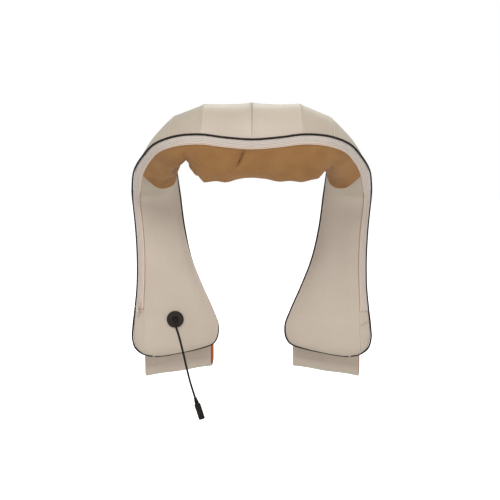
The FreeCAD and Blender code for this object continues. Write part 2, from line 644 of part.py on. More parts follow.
def make_gland():
    flange = rod_y(ARM_FACE_Y - 3, ARM_FACE_Y - 0.05, GLAND_X, GLAND_Z, GLAND_R)
    flange = flange.makeFillet(1.2, [e for e in flange.Edges if e.CenterOfMass.y < ARM_FACE_Y - 2.5
                                     and e.Length > 50])
    body = flange.fuse(rod_y(ARM_FACE_Y - 0.5, ARM_FACE_Y + 16, GLAND_X, GLAND_Z, 7.0))
    save("cord_gland", body)
    nut = rod_y(ARM_FACE_Y + 3, ARM_FACE_Y + 7, GLAND_X, GLAND_Z, 11).cut(
        rod_y(ARM_FACE_Y, ARM_FACE_Y + 9, GLAND_X, GLAND_Z, 7.02))
    save("gland_nut", nut)
    relief = Part.makeCone(3.0, 5.2, 12, V(GLAND_X, ARM_FACE_Y - 15, GLAND_Z), V(0, 1, 0))
    save("strain_relief", relief)


def make_lead():
    save("power_lead", routed_tube(LEAD_ROUTE, LEAD_D / 2))
    along = (LEAD_ROUTE[-1] - LEAD_ROUTE[-2]).normalize()
    turn = FreeCAD.Rotation(V(0, 0, 1), along)
    tail = Part.makeCone(2.6, 3.9, 10)
    body = tail.fuse(Part.makeCylinder(5.2, 27, V(0, 0, 10)))
    body = body.cut(Part.makeCylinder(2.85, 11, V(0, 0, 27)))
    contact = Part.makeCylinder(1.0, 9, V(0, 0, 27))
    for name, shape in (("dc_socket", body), ("dc_contact", contact)):
        shape.Placement = FreeCAD.Placement(LEAD_ROUTE[-1], turn)
        save(name, shape)


# ---------------------------------------------------------------- zip slider on the left arm
SLIDER_Z = -281.0
SLIDER_EDGE_X = 192.8       # the arm's outer edge at that height
SLIDER_GAP = 0.45
PIN_Y = 3.2                 # the pull's pin, above the foot of the slider
PIN_R = 0.6
KNUCKLE_R = 1.3


def make_zip_slider():
    """Slider plate with a pin between two lugs, and the pull that hangs from it, on the left arm's tape."""
    centre = tape_middle(SLIDER_EDGE_X, SLIDER_Z, TAPE_GAP + TAPE_T + SLIDER_GAP)
    centre.x *= -1
    out = V(-CHAMFER_OUT.x, CHAMFER_OUT.y, 0)
    side = V(-CHAMFER_SIDE.x, CHAMFER_SIDE.y, 0)
    frame = FreeCAD.Placement(centre, FreeCAD.Rotation(side, out, V(0, 0, 1), "XYZ"))
    slider = rounded_box(-3.3, 3.3, 0, 1.6, -4.5, 4.5, 1.5, V(0, 1, 0))
    for x0, x1 in ((-3.1, -2.0), (2.0, 3.1)):
        slider = slider.fuse(box(x0, x1, 1.4, PIN_Y, -1.3, 1.3)).fuse(rod_x(x0, x1, PIN_Y, 0, KNUCKLE_R))
    slider = slider.fuse(rod_x(-3.1, 3.1, PIN_Y, 0, PIN_R))
    neck = box(-1.7, 1.7, PIN_Y - 0.5, PIN_Y + 0.5, -6.5, 0)
    tab = rounded_box(-2.3, 2.3, PIN_Y - 0.5, PIN_Y + 0.5, -14, -5, 1.2, V(0, 1, 0))
    tab = tab.cut(rounded_box(-1.1, 1.1, PIN_Y - 1, PIN_Y + 1, -12.6, -9, 0.8, V(0, 1, 0)))
    pull = rod_x(-1.7, 1.7, PIN_Y, 0, KNUCKLE_R).fuse(neck).fuse(tab).cut(
        rod_x(-4, 4, PIN_Y, 0, PIN_R + RUNNING))
    for name, shape in (("zip_slider", slider), ("zip_pull", pull)):
        shape.Placement = frame
        save(name, shape)


def make_arms():
    pieces = arm_pieces()
    pieces["arm_zip_tape"] = arm_tape()
    pieces.update(strap_pieces())
    gland_hole = rod_y(ARM_FACE_Y - 5, ARM_FACE_Y + 8, GLAND_X, GLAND_Z, 7.2)
    gland_room = rod_y(ARM_FACE_Y - 5, ARM_FACE_Y + 19, GLAND_X, GLAND_Z, 11.6)
    for name, shape in pieces.items():
        save("right_" + name, shape)
        left = mirrored(shape)
        if name == "body_cover":
            left = left.cut(gland_hole)
        if name == "outer_cover":
            left = left.cut(pocket(0.2))
        if name == "arm_foam":
            left = left.cut(pocket(0.8)).cut(gland_room)
        save("left_" + name, left)


make_yoke()
make_gearbox()
make_chassis()
make_motor()
make_worm_shaft()
make_heads()
make_heating()
make_arms()
make_control_box()
make_gland()
make_lead()
make_zip_slider()
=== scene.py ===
import json
import math

import bpy
import numpy as np
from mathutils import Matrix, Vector, noise


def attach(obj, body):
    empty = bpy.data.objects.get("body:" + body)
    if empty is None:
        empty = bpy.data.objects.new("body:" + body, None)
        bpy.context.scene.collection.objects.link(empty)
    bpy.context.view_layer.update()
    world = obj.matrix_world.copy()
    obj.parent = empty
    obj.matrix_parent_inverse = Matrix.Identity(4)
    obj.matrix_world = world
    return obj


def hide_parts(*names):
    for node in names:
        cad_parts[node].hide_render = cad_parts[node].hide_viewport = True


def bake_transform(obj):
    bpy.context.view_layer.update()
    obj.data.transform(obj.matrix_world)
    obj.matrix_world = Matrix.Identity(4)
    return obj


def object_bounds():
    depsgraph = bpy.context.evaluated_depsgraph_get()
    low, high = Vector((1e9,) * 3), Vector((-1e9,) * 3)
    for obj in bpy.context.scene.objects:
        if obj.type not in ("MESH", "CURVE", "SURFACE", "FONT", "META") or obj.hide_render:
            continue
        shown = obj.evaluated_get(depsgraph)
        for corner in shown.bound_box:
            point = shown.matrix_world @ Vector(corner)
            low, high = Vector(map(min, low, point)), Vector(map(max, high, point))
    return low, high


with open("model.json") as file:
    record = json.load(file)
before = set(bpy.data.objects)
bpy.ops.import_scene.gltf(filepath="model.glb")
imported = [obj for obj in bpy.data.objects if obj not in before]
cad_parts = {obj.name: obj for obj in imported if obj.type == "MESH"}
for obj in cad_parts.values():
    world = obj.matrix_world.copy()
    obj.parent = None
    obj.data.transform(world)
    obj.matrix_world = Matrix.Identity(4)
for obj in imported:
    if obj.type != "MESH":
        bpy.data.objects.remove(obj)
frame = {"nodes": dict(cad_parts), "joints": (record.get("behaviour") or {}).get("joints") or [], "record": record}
CAD_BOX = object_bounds()
NODES = frame["nodes"]
MM = 0.001


# ---------------------------------------------------------------- camera, light and floor
AIM = Vector((-0.003, 0.0, -0.180))
DISTANCE = 1.95
ELEVATION = math.radians(6.0)
FIELD = 0.80               # width of the view at the aim point


def look_at(obj, target):
    obj.rotation_euler = (Vector(target) - obj.location).to_track_quat("-Z", "Y").to_euler()


def add_camera():
    data = bpy.data.cameras.new("camera")
    data.sensor_width = 36.0
    data.lens = 36.0 * DISTANCE / FIELD
    camera = bpy.data.objects.new("camera", data)
    camera.location = AIM + DISTANCE * Vector((0, -math.cos(ELEVATION), math.sin(ELEVATION)))
    look_at(camera, AIM)
    bpy.context.collection.objects.link(camera)
    bpy.context.scene.camera = camera


def add_area_light(name, place, target, size, power, colour=(1, 1, 1)):
    data = bpy.data.lights.new(name, "AREA")
    data.size = size
    data.energy = power
    data.color = colour
    lamp = bpy.data.objects.new(name, data)
    lamp.location = place
    look_at(lamp, target)
    bpy.context.collection.objects.link(lamp)


def add_stage():
    scene = bpy.context.scene
    scene.view_settings.view_transform = "Standard"
    world = bpy.data.worlds.new("studio")
    scene.world = world
    world.use_nodes = True
    background = world.node_tree.nodes["Background"]
    background.inputs["Color"].default_value = (1.0, 1.0, 1.0, 1)
    paths = world.node_tree.nodes.new("ShaderNodeLightPath")
    level = world.node_tree.nodes.new("ShaderNodeMapRange")
    level.inputs["To Min"].default_value = 0.74
    level.inputs["To Max"].default_value = 1.0
    world.node_tree.links.new(paths.outputs["Is Camera Ray"], level.inputs["Value"])
    world.node_tree.links.new(level.outputs["Result"], background.inputs["Strength"])
    centre = (0, 0, -0.15)
    add_area_light("key", (-0.5, -1.7, 1.7), centre, 1.0, 34)
    add_area_light("fill", (1.3, -1.9, 0.3), centre, 1.6, 9)
    add_area_light("back", (0.3, 1.7, 1.5), centre, 1.4, 16)
    side = 6.0
    floor_z = CAD_BOX[0].z - 0.03
    mesh = bpy.data.meshes.new("floor")
    mesh.from_pydata([(-side, -side, floor_z), (side, -side, floor_z), (side, side, floor_z),
                      (-side, side, floor_z)], [], [(0, 1, 2, 3)])
    floor = bpy.data.objects.new("floor", mesh)
    bpy.context.collection.objects.link(floor)
    mat = bpy.data.materials.new("floor")
    mat.use_nodes = True
    shader = mat.node_tree.nodes["Principled BSDF"]
    shader.inputs["Base Color"].default_value = (0.93, 0.93, 0.93, 1)
    shader.inputs["Roughness"].default_value = 0.9
    shader.inputs["Emission Color"].default_value = (1, 1, 1, 1)
    seen = mat.node_tree.nodes.new("ShaderNodeLightPath")
    glow = mat.node_tree.nodes.new("ShaderNodeMapRange")
    glow.inputs["To Max"].default_value = 0.6
    mat.node_tree.links.new(seen.outputs["Is Camera Ray"], glow.inputs["Value"])
    mat.node_tree.links.new(glow.outputs["Result"], shader.inputs["Emission Strength"])
    mesh.materials.append(mat)


# ---------------------------------------------------------------- materials
class Shade:
    """A node material with a few short ways to add its nodes."""

    def __init__(self, name, roughness=0.5, **sockets):
        self.mat = bpy.data.materials.new(name)
        self.mat.use_nodes = True
        self.tree = self.mat.node_tree
        self.shader = self.tree.nodes["Principled BSDF"]
        self.shader.inputs["Roughness"].default_value = roughness
        for key, value in sockets.items():
            self.shader.inputs[key.replace("_", " ")].default_value = value

    def node(self, kind, links=None, **values):
        made = self.tree.nodes.new("ShaderNode" + kind)
        for key, value in values.items():
            setattr(made, key, value)
        for socket, source in (links or {}).items():
            if isinstance(source, (int, float, tuple)):
                made.inputs[socket].default_value = source
            else:
                self.tree.links.new(source, made.inputs[socket])
        return made

    def place(self, kind="Object"):
        return self.node("TexCoord").outputs[kind]

    def uv(self):
        return self.node("UVMap").outputs["UV"]

    def noise(self, where, scale, detail=4.0, roughness=0.55):
        made = self.node("TexNoise", {"Vector": where, "Scale": scale, "Detail": detail,
                                      "Roughness": roughness})
        return made.outputs["Fac"]

    def maths(self, operation, a, b=0.0, c=0.0):
        return self.node("Math", {0: a, 1: b, 2: c}, operation=operation).outputs[0]

    def ramp(self, factor, stops):
        made = self.node("ValToRGB", {"Fac": factor})
        ramp = made.color_ramp
        while len(ramp.elements) < len(stops):
            ramp.elements.new(0.5)
        for element, (position, colour) in zip(ramp.elements, stops):
            element.position = position
            element.color = (*colour, 1)
        return made.outputs["Color"]

    def blend(self, factor, a, b, mode="MIX"):
        made = self.node("Mix", data_type="RGBA", blend_type=mode)
        for index, source in ((0, factor), (6, a), (7, b)):
            if isinstance(source, (int, float)):
                made.inputs[index].default_value = source
            elif isinstance(source, tuple):
                made.inputs[index].default_value = (*source, 1)
            else:
                self.tree.links.new(source, made.inputs[index])
        return made.outputs[2]

    def separate(self, vector):
        made = self.node("SeparateXYZ", {0: vector})
        return made.outputs[0], made.outputs[1], made.outputs[2]

    def set(self, socket, source):
        self.tree.links.new(source, self.shader.inputs[socket])

    def bump(self, height, distance, strength=1.0):
        made = self.node("Bump", {"Height": height, "Distance": distance, "Strength": strength})
        self.set("Normal", made.outputs["Normal"])


def make_leather():
    m = Shade("leather", 0.5, Specular_IOR_Level=0.42, Sheen_Weight=0.06, Sheen_Roughness=0.4)
    where = m.place()
    broad = m.noise(where, 9.0, 3.0)
    fine = m.noise(where, 420.0, 3.0, 0.6)
    tone = m.ramp(broad, [(0.30, (0.409, 0.349, 0.291)), (0.70, (0.452, 0.392, 0.332))])
    # Painted shade: the leather's colour is darkened and greyed where the surface turns away from the camera.
    facing = m.node("LayerWeight", {"Blend": 0.35}).outputs["Facing"]
    turned = m.ramp(facing, [(0.05, (1.0, 0.975, 0.95)), (0.75, (0.86, 0.88, 0.80))])
    tone = m.blend(1.0, tone, turned, "MULTIPLY")
    speck = m.ramp(fine, [(0.35, (0.955, 0.95, 0.94)), (0.65, (1.0, 1.0, 1.0))])
    tone = m.blend(1.0, tone, speck, "MULTIPLY")
    # Painted shade: the side panels' leather colour is darkened for the shade on panels that turn away from the
    # light.
    panel = m.node("Attribute", attribute_name="side_panel_painted_shade").outputs["Fac"]
    m.set("Base Color", m.blend(panel, tone, m.blend(1.0, tone, (0.93, 0.925, 0.915), "MULTIPLY")))
    m.set("Roughness", m.maths("MULTIPLY_ADD", broad, 0.16, 0.40))
    cells = m.node("TexVoronoi", {"Vector": where, "Scale": 780.0}, feature="DISTANCE_TO_EDGE")
    pore = m.maths("MINIMUM", cells.outputs["Distance"], 0.22)
    relief = m.maths("ADD", m.maths("MULTIPLY", pore, 1.6), m.maths("MULTIPLY", fine, 0.5))
    m.bump(relief, 0.0002, 0.38)
    return m.mat


def make_mesh_fabric():
    m = Shade("spacer_mesh", 0.85, Sheen_Weight=0.05, Sheen_Roughness=0.5, Specular_IOR_Level=0.2)
    u, v, _ = m.separate(m.uv())
    period = 0.0026                # between rows of holes
    across = m.maths("MULTIPLY", m.maths("ADD", u, v), math.pi / period)
    along = m.maths("MULTIPLY", m.maths("SUBTRACT", u, v), math.pi / period)
    lattice = m.maths("MULTIPLY", m.maths("SINE", across), m.maths("SINE", along))
    hole = m.maths("ABSOLUTE", lattice)
    cloud = m.noise(m.place(), 30.0)
    thread = m.ramp(cloud, [(0.3, (0.290, 0.142, 0.046)), (0.7, (0.362, 0.186, 0.066))])
    holes = m.ramp(hole, [(0.34, (1.0, 1.0, 1.0)), (0.80, (0.46, 0.40, 0.34))])
    m.set("Base Color", m.blend(1.0, thread, holes, "MULTIPLY"))
    m.bump(m.maths("SUBTRACT", 1.0, hole), 0.0006, 0.8)
    return m.mat


def make_band():
    m = Shade("zip_band", 0.75, Sheen_Weight=0.15, Sheen_Roughness=0.5, Specular_IOR_Level=0.25)
    u, v, _ = m.separate(m.uv())
    stripe = m.maths("SINE", m.maths("MULTIPLY", v, 2 * math.pi / 0.0026))
    rib = m.maths("SINE", m.maths("MULTIPLY", u, 2 * math.pi / 0.0014))
    tone = m.ramp(m.maths("MULTIPLY_ADD", stripe, 0.5, 0.5),
                  [(0.1, (0.41, 0.350, 0.310)), (0.9, (0.56, 0.510, 0.460))])
    ribs = m.ramp(m.maths("MULTIPLY_ADD", rib, 0.5, 0.5), [(0.1, (0.86, 0.84, 0.82)), (0.8, (1, 1, 1))])
    edge = m.ramp(v, [(0.0, (1.0, 1.0, 1.0)), (0.0110, (1, 1, 1)), (0.0122, (1.14, 0.99, 0.86)),
                      (0.0140, (1.14, 0.99, 0.86))])
    m.set("Base Color", m.blend(1.0, m.blend(1.0, tone, ribs, "MULTIPLY"), edge, "MULTIPLY"))
    m.bump(m.maths("ADD", m.maths("MULTIPLY", rib, 0.5), stripe), 0.0003, 0.5)
    return m.mat


def make_piping():
    m = Shade("piping", 0.7, Specular_IOR_Level=0.08)
    grain = m.noise(m.place(), 900.0, 2.0)
    m.set("Base Color", m.ramp(grain, [(0.3, (0.012, 0.009, 0.008)), (0.7, (0.024, 0.019, 0.016))]))
    m.bump(grain, 0.0001, 0.4)
    return m.mat


def make_lining():
    m = Shade("orange_lining", 0.8, Sheen_Weight=0.2, Specular_IOR_Level=0.2)
    u, v, _ = m.separate(m.uv())
    weave = m.maths("MULTIPLY", m.maths("SINE", m.maths("MULTIPLY", u, 2 * math.pi / 0.0012)),
                    m.maths("SINE", m.maths("MULTIPLY", v, 2 * math.pi / 0.0012)))
    m.set("Base Color", m.ramp(m.maths("MULTIPLY_ADD", weave, 0.5, 0.5),
                               [(0.2, (0.42, 0.075, 0.010)), (0.8, (0.66, 0.155, 0.030))]))
    m.bump(weave, 0.0002, 0.6)
    return m.mat


def make_plain(name, dark, light, roughness, scale=500.0, bump=0.0001, **sockets):
    """Moulded or turned material with a fine-grained tone."""
    m = Shade(name, roughness, **sockets)
    where = m.place()
    grain = m.noise(where, scale, 3.0)
    broad = m.noise(where, 25.0, 2.0)
    m.set("Base Color", m.ramp(grain, [(0.3, dark), (0.7, light)]))
    m.set("Roughness", m.maths("MULTIPLY_ADD", broad, 0.14, roughness - 0.07))
    m.bump(grain, bump, 0.35)
    return m.mat


def make_materials():
    made = {
        "leather": make_leather(),
        "mesh": make_mesh_fabric(),
        "zip_tape": make_band(),
        "piping": make_piping(),
        "lining": make_lining(),
        "foam": make_plain("foam", (0.72, 0.70, 0.60), (0.86, 0.84, 0.75), 0.95, 700.0, 0.0006),
        "chassis_plastic": make_plain("chassis_plastic", (0.55, 0.55, 0.52), (0.63, 0.63, 0.60), 0.45),
        "dark_plastic": make_plain("dark_plastic", (0.016, 0.013, 0.010), (0.028, 0.023, 0.019), 0.5, 900.0,
                                   Specular_IOR_Level=0.15),
        "steel": make_plain("steel", (0.48, 0.48, 0.49), (0.62, 0.62, 0.63), 0.30, 300.0, 0.00004,
                            Metallic=1.0),
        "brass": make_plain("brass", (0.60, 0.44, 0.18), (0.74, 0.58, 0.28), 0.40, 600.0, 0.00006,
                            Metallic=1.0),
        "gear_plastic": make_plain("acetal", (0.74, 0.73, 0.66), (0.82, 0.81, 0.75), 0.40),
        "node_plastic": make_plain("node_plastic", (0.60, 0.24, 0.05), (0.68, 0.30, 0.08), 0.42),
        "board": make_plain("circuit_board", (0.015, 0.12, 0.05), (0.03, 0.18, 0.08), 0.35, 250.0),
        "lamp": make_plain("red_lamp", (0.50, 0.02, 0.01), (0.62, 0.04, 0.02), 0.15, 60.0,
                           Transmission_Weight=0.5),
        "button": make_plain("button", (0.34, 0.29, 0.23), (0.40, 0.35, 0.29), 0.45, 900.0),
        "panel": make_plain("panel", (0.020, 0.018, 0.016), (0.030, 0.027, 0.025), 0.42, 1200.0,
                            0.00003, Specular_IOR_Level=0.25),
        "cord_rubber": make_plain("cord_rubber", (0.008, 0.006, 0.005), (0.015, 0.012, 0.010), 0.6, 900.0,
                                  Specular_IOR_Level=0.12),
        "nickel": make_plain("nickel", (0.62, 0.60, 0.56), (0.72, 0.70, 0.66), 0.22, 300.0, 0.00003,
                             Metallic=1.0),
        "zip_metal": make_plain("zip_metal", (0.46, 0.39, 0.33), (0.54, 0.47, 0.40), 0.35, 500.0, 0.00005),
    }
    thread = make_plain("thread", (0.42, 0.34, 0.26), (0.52, 0.44, 0.34), 0.7, 1500.0)
    made["thread"] = thread
    return made


add_camera()
add_stage()
MATERIALS = make_materials()


def finish_cad_nodes():
    slots = {s["node"]: s["material_slot"] for s in frame["record"]["subparts"]}
    for name, obj in NODES.items():
        obj.data.materials.clear()
        obj.data.materials.append(MATERIALS[slots[name]])


# ---------------------------------------------------------------- the padded body's stations
# From the yoke's centre to the bottom of the right arm, in millimetres: edge (piping line), neck edge,
# outward direction, rise of the outer cover, depth of the body side, zip band down and inwards.
SEAM_Y = 72.0
STATIONS = [
    ((0, -140, -2.5), (0, 0, 12), (0, 0, 1), 48, 57, 14, 1),
    ((42, -139, 0.5), (36, 1, 12), (0, 0, 1), 46, 59.5, 14, 1),
    ((76, -135, 4.5), (66, 4, 11), (0.03, 0, 1), 43, 63, 14, 1),
    ((112, -124, 2), (95, 12, 5), (0.10, 0.02, 1), 35, 58, 14, 2),
    ((145, -98, -9.5), (114, 24, -6), (0.42, 0.12, 0.88), 22, 42, 13, 3),
    ((166, -62, -28.5), (122, 38, -22), (0.68, 0.25, 0.68), 18, 34, 12, 5),
    ((183, -20, -52), (124, 52, -44), (0.70, 0.50, 0.48), 18, 26, 12, 7),
    ((191, 26, -80), (122, 64, -72), (0.45, 0.80, 0.35), 22, 16, 11, 9),
    ((195.5, SEAM_Y, -103), (119, SEAM_Y, -103), (0, 1, 0), 28, 10, 9, 12),
    ((191, SEAM_Y, -152), (112.5, SEAM_Y, -152), (0, 1, 0), 28, 11, 9, 12.5),
    ((188.8, SEAM_Y, -204), (100.5, SEAM_Y, -204), (0, 1, 0), 28, 12, 9, 12.5),
    ((190, SEAM_Y, -252), (82, SEAM_Y, -252), (0, 1, 0), 28, 12, 9, 12.5),
    ((193.8, SEAM_Y, -289), (66, SEAM_Y, -289), (0, 1, 0), 28, 12, 9, 14.5),
    ((197, SEAM_Y, -318), (57.2, SEAM_Y, -316), (0, 1, 0), 28, 12, 9, 18),
    ((197.3, SEAM_Y, -338), (60.0, SEAM_Y, -336), (0, 1, 0), 27, 12, 8.5, 17),
    ((192, SEAM_Y, -353.5), (69, SEAM_Y, -346.5), (0, 1, 0), 22, 11, 6, 11),
    ((180, SEAM_Y, -362.5), (86, SEAM_Y, -352.5), (0, 1, 0), 14, 8, 2, 2.5),
    ((161, SEAM_Y, -366), (104, SEAM_Y, -357), (0, 1, 0), 7, 4, 0, 0),
    ((136, SEAM_Y, -363.5), (124, SEAM_Y, -361), (0, 1, 0), 1, 1, 0, 0),
]
BAND_END = 12              # where the zip stops on the arm
OUTER_POWER = 2.6
BODY_POWER = 3.8
FACE_POWER = 5.0
NECK_POWER = 2.6
ARM_BACK_POWER = 7.0
LEATHER_T = 1.6
GUSSET_T = 1.2
BAND_T = 1.0
MESH_T = 1.8
PIPING_R = 1.45


def station_table():
    """Rows of numbers for each station, with a mirrored one ahead of the first, and their places along."""
    rows = [[*s[0], *s[1], *s[2], *s[3:]] for s in STATIONS]
    ahead = list(rows[1])
    for i in (0, 3, 6):
        ahead[i] = -ahead[i]
    table = np.array([ahead] + rows, float)
    middle = (table[:, 0:3] + table[:, 3:6]) / 2
    edges = table[:, 0:3]
    steps = 0.5 * (np.linalg.norm(np.diff(middle, axis=0), axis=1)
                   + np.linalg.norm(np.diff(edges, axis=0), axis=1))
    along = np.concatenate([[0], np.cumsum(steps)])
    return table, along - along[1]


TABLE, ALONG = station_table()


def at(index):
    """Distance along the body, in mm, of a station index, which may be fractional."""
    return float(np.interp(index, np.arange(len(STATIONS)), ALONG[1:]))


def stations_at(t):
    """Station values at distances t along the body, by a smooth curve through the stations."""
    t = np.atleast_1d(np.asarray(t, float))
    slope = np.gradient(TABLE, ALONG, axis=0)
    k = np.clip(np.searchsorted(ALONG, t, side="right") - 1, 0, len(ALONG) - 2)
    h = (ALONG[k + 1] - ALONG[k])[:, None]
    x = ((t - ALONG[k])[:, None]) / h
    values = ((2 * x ** 3 - 3 * x ** 2 + 1) * TABLE[k] + (x ** 3 - 2 * x ** 2 + x) * h * slope[k]
              + (-2 * x ** 3 + 3 * x ** 2) * TABLE[k + 1] + (x ** 3 - x ** 2) * h * slope[k + 1])
    edge, neck, up = values[:, 0:3], values[:, 3:6], values[:, 6:9]
    across = neck - edge
    across /= np.linalg.norm(across, axis=1)[:, None]
    up = up - across * np.sum(up * across, axis=1)[:, None]
    up /= np.linalg.norm(up, axis=1)[:, None]
    return edge, neck, across, up, values[:, 9], values[:, 10], values[:, 11], values[:, 12]


# ---------------------------------------------------------------- mesh helpers
def add_object(name, verts, faces, material, uvs=None, smooth=True):
    """A mesh object from points in mm; uvs, in mm, has one pair per point."""
    mesh = bpy.data.meshes.new(name)
    mesh.from_pydata([tuple(np.asarray(p) * MM) for p in verts], [], faces)
    mesh.validate()
    if uvs is not None:
        layer = mesh.uv_layers.new(name="UVMap")
        for loop in mesh.loops:
            u, v = uvs[loop.vertex_index]
            layer.data[loop.index].uv = (u * MM, v * MM)
    if smooth:
        mesh.shade_smooth()
    mesh.materials.append(MATERIALS[material])
    obj = bpy.data.objects.new(name, mesh)
    bpy.context.collection.objects.link(obj)
    return obj


def grid_faces(rows, columns, flip=False, closed=False):
    faces = []
    span = columns if closed else columns - 1
    for i in range(rows - 1):
        for j in range(span):
            k = (j + 1) % columns
            quad = (i * columns + j, (i + 1) * columns + j, (i + 1) * columns + k, i * columns + k)
            faces.append(quad[::-1] if flip else quad)
    return faces


def sheet_object(name, points, material, side, thickness, flip=False):
    """A skin of the given thickness, in mm, on a grid of points [rows, columns, 3], mirrored for the left."""
    points = np.array(points, float)
    rows, columns = points.shape[:2]
    along = np.zeros((rows, columns))
    along[1:] = np.cumsum(np.linalg.norm(np.diff(points, axis=0), axis=2), axis=0)
    across = np.zeros((rows, columns))
    across[:, 1:] = np.cumsum(np.linalg.norm(np.diff(points, axis=1), axis=2), axis=1)
    along[:] = along.mean(axis=1)[:, None]
    if side == "left":
        points[..., 0] *= -1
    uvs = np.stack([along, across], axis=2).reshape(-1, 2)
    faces = grid_faces(rows, columns, flip=flip != (side == "left"))
    obj = add_object(name, points.reshape(-1, 3), faces, material, uvs)
    skin = obj.modifiers.new("skin", "SOLIDIFY")
    skin.thickness = thickness * MM
    skin.offset = -1.0
    return obj


def apply_modifiers(obj):
    bpy.context.view_layer.update()
    evaluated = obj.evaluated_get(bpy.context.evaluated_depsgraph_get())
    mesh = bpy.data.meshes.new_from_object(evaluated)
    obj.modifiers.clear()
    obj.data = mesh
    return obj


def tube_points(path, radius, sides=12):
    """Rings of points round a path, with rings that don't twist."""
    path = np.array(path, float)
    tangent = np.gradient(path, axis=0)
    tangent /= np.linalg.norm(tangent, axis=1)[:, None]
    normal = np.cross(tangent[0], [0.3, 0.2, 1.0])
    rings = []
    radii = np.full(len(path), radius) if np.isscalar(radius) else radius
    for p, d, r in zip(path, tangent, radii):
        normal = normal - d * normal.dot(d)
        normal /= np.linalg.norm(normal)
        other = np.cross(d, normal)
        angles = np.arange(sides) * 2 * math.pi / sides
        rings.append(p + r * (np.cos(angles)[:, None] * normal + np.sin(angles)[:, None] * other))
    return np.array(rings)


def tube_object(name, path, radius, material, sides=12):
    rings = tube_points(path, radius, sides)
    count = len(rings)
    faces = grid_faces(count, sides, closed=True, flip=True)
    faces.append(tuple(range(sides)))
    faces.append(tuple((count - 1) * sides + i for i in reversed(range(sides))))
    return add_object(name, rings.reshape(-1, 3), faces, material)


def fan(power, count):
    """Places across a section from -1 to 1, closer together near the ends."""
    s = np.linspace(-1, 1, count)
    return np.sign(s) * (1 - (1 - np.abs(s)) ** power)


def bend_at_shoulder(obj):
    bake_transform(obj)


# ---------------------------------------------------------------- outer leather
SEAMS = [0.0, at(2), at(3.28)]


def seam_relief(t):
    """Height of the leather, in mm, over its plain curve: proud at the seams, with a sewn groove."""
    height = np.zeros_like(t)
    marks = SEAMS + [at(6.2)]
    for low, high in zip(marks[:-1], marks[1:]):
        inside = (t >= low) & (t <= high)
        share = (t[inside] - low) / (high - low)
        height[inside] -= 2.2 * 4 * share * (1 - share) * (1.0 if high != marks[-1] else 0.4)
    for seam in SEAMS:
        gap = np.abs(t - seam)
        height += 0.9 * np.exp(-(gap / 4.0) ** 2) - 1.5 * np.exp(-(gap / 0.75) ** 2)
    return height


def outer_leather(side):
    plain = np.linspace(0, at(len(STATIONS) - 1), 300)
    close = np.concatenate([seam + np.linspace(-6, 6, 33) for seam in SEAMS])
    t = np.unique(np.clip(np.concatenate([plain, close]), 0, None))
    edge, neck, _, up, rise, _, _, _ = stations_at(t)
    s = fan(1.6, 61)
    share = (s + 1) / 2
    relief = seam_relief(t)
    points = np.zeros((len(t), len(s), 3))
    power = np.interp(t, [at(7), at(9.5)], [OUTER_POWER, ARM_BACK_POWER])
    for j, (sj, f) in enumerate(zip(s, share)):
        full = 1 - abs(sj) ** power
        height = rise * full + relief * np.minimum(1.0, 3 * full)
        points[:, j] = edge * (1 - f) + neck * f + up * height[:, None]
    for i in range(len(t)):
        for j in range(len(s)):
            p = Vector(points[i, j]) * 0.018
            sway = noise.noise(p + Vector((0 if side == "right" else 9.0, 3.1, 0)))
            points[i, j] += up[i] * sway * 1.3 * (1 - abs(s[j]) ** 6)
    name = side + "_outer_leather"
    obj = sheet_object(name, points, "leather", side, LEATHER_T, flip=False)
    # Marks the side panels, whose leather colour gets painted shade.
    panel = obj.data.attributes.new("side_panel_painted_shade", "FLOAT", "POINT")
    inside = (t > SEAMS[1]) & (t < SEAMS[2])
    panel.data.foreach_set("value", np.repeat(inside, len(s)).astype(np.float32))
    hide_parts(side + "_outer_cover", side + "_arm_foam")
    return obj


# ---------------------------------------------------------------- face leather of the arms
def face_leather(side):
    t = np.concatenate([np.linspace(at(5.6), at(12), 110), np.linspace(at(12), at(18), 120)[1:]])
    edge, neck, across, up, _, drop, band_down, band_in = stations_at(t)
    hidden = np.clip((at(7.6) - t) / (at(7.6) - at(5.6)), 0, 1)
    drop = drop * (1 - 0.5 * hidden)
    start = edge - up * band_down[:, None] + across * band_in[:, None]
    s = fan(2.0, 61)
    full = 2.6 if side == "left" else 0.7
    overhang = np.interp(t, [at(9.0), at(10.4)], [0.6, full])
    points = np.zeros((len(t), len(s), 3))
    for j, sj in enumerate(s):
        f = (sj + 1) / 2
        base = start * (1 - f) + neck * f
        shape = 1 - abs(sj) ** (FACE_POWER if sj < 0 else NECK_POWER)
        lip = math.exp(-((sj - 0.985) / 0.03) ** 2)
        points[:, j] = (base - up * ((drop - band_down * (1 - f)) * shape)[:, None]
                        + across * (overhang * lip)[:, None])
    name = side + "_face_leather"
    obj = sheet_object(name, points, "leather", side, LEATHER_T, flip=True)
    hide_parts(side + "_body_cover")
    return obj


# ---------------------------------------------------------------- zip band and piping
def edge_strip(name, side, t, steps, profile, material, thickness):
    """A strip between the piping and the body side, its section raised by profile(share of width)."""
    edge, _, across, up, _, _, band_down, band_in = stations_at(t)
    low = edge - up * band_down[:, None] + across * band_in[:, None]
    down = low - edge
    width = np.linalg.norm(down, axis=1)[:, None]
    down /= np.maximum(width, 1e-6)
    out = down * np.sum(across * down, axis=1)[:, None] - across
    out /= np.linalg.norm(out, axis=1)[:, None]
    points = np.zeros((len(t), len(steps), 3))
    for j, f in enumerate(steps):
        points[:, j] = edge + down * (0.4 + (width - 0.5) * f) + out * profile(f)
    return sheet_object(name, points, material, side, thickness, flip=True)


def zip_band(side):
    def profile(f):
        crown = 1.3 * (1 - (2 * f - 1) ** 4)
        ridges = 0.10 * math.cos(2 * math.pi * f * 5)
        fold = 0.5 * math.exp(-((f - 0.58) / 0.03) ** 2)
        return 0.7 + crown + ridges - fold
    obj = edge_strip(side + "_zip_band", side, np.linspace(0, at(BAND_END), 420), np.linspace(0, 1, 37),
                     profile, "zip_tape", BAND_T)
    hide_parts(side + "_arm_zip_tape")
    return obj


